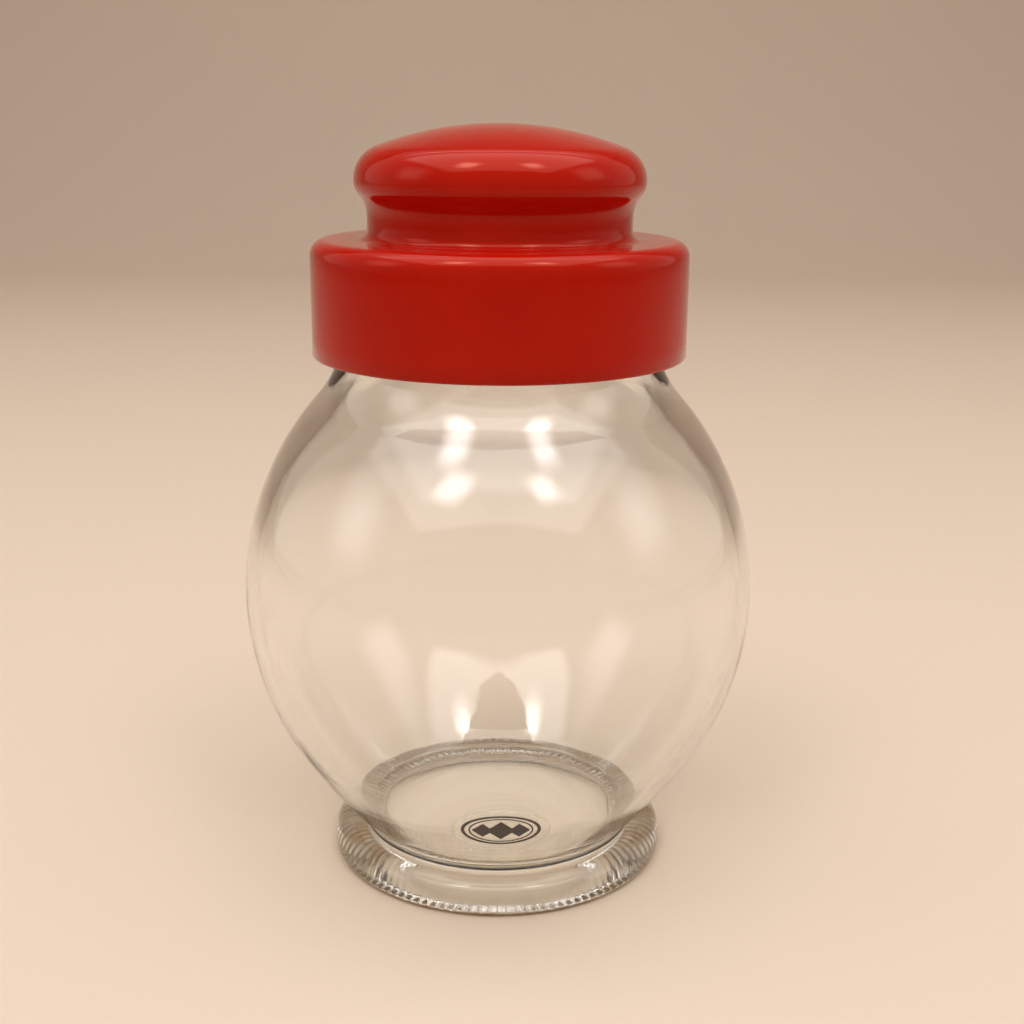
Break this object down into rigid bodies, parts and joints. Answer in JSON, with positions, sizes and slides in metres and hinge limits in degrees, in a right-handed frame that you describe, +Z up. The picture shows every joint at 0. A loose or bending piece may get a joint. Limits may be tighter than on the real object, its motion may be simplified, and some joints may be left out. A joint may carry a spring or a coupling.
{
  "type": "lidded glass storage jar",
  "caption": "Clear glass globe jar on a thick ring foot, with a red plastic push-in lid that has a broad hollow mushroom knob and a soft seal ring.",
  "frame": {"origin": "centre of the base, on the surface the jar stands on", "axes": "+Z up along the axis of the jar, -Y towards the front with the label"},
  "size_m": [0.147, 0.147, 0.2131],
  "materials": {
    "glass": "clear soda-lime glass, fire-polished, with fine radial ribs under the foot",
    "lid_plastic": "glossy orange-red moulded plastic",
    "seal_plastic": "soft natural polyethylene, slightly milky",
    "label_film": "clear film with a dark brown printed oval"
  },
  "bodies": {
    "jar": {"glass_jar": "glass", "maker_label": "label_film"},
    "lid": {"lid_shell": "lid_plastic", "seal_ring": "seal_plastic"}
  },
  "joints": [
    {"name": "lid_lift", "type": "slide", "parent": "jar", "child": "lid", "axis": [0, 0, 1], "range_m": [0, 0.06]}
  ]
}
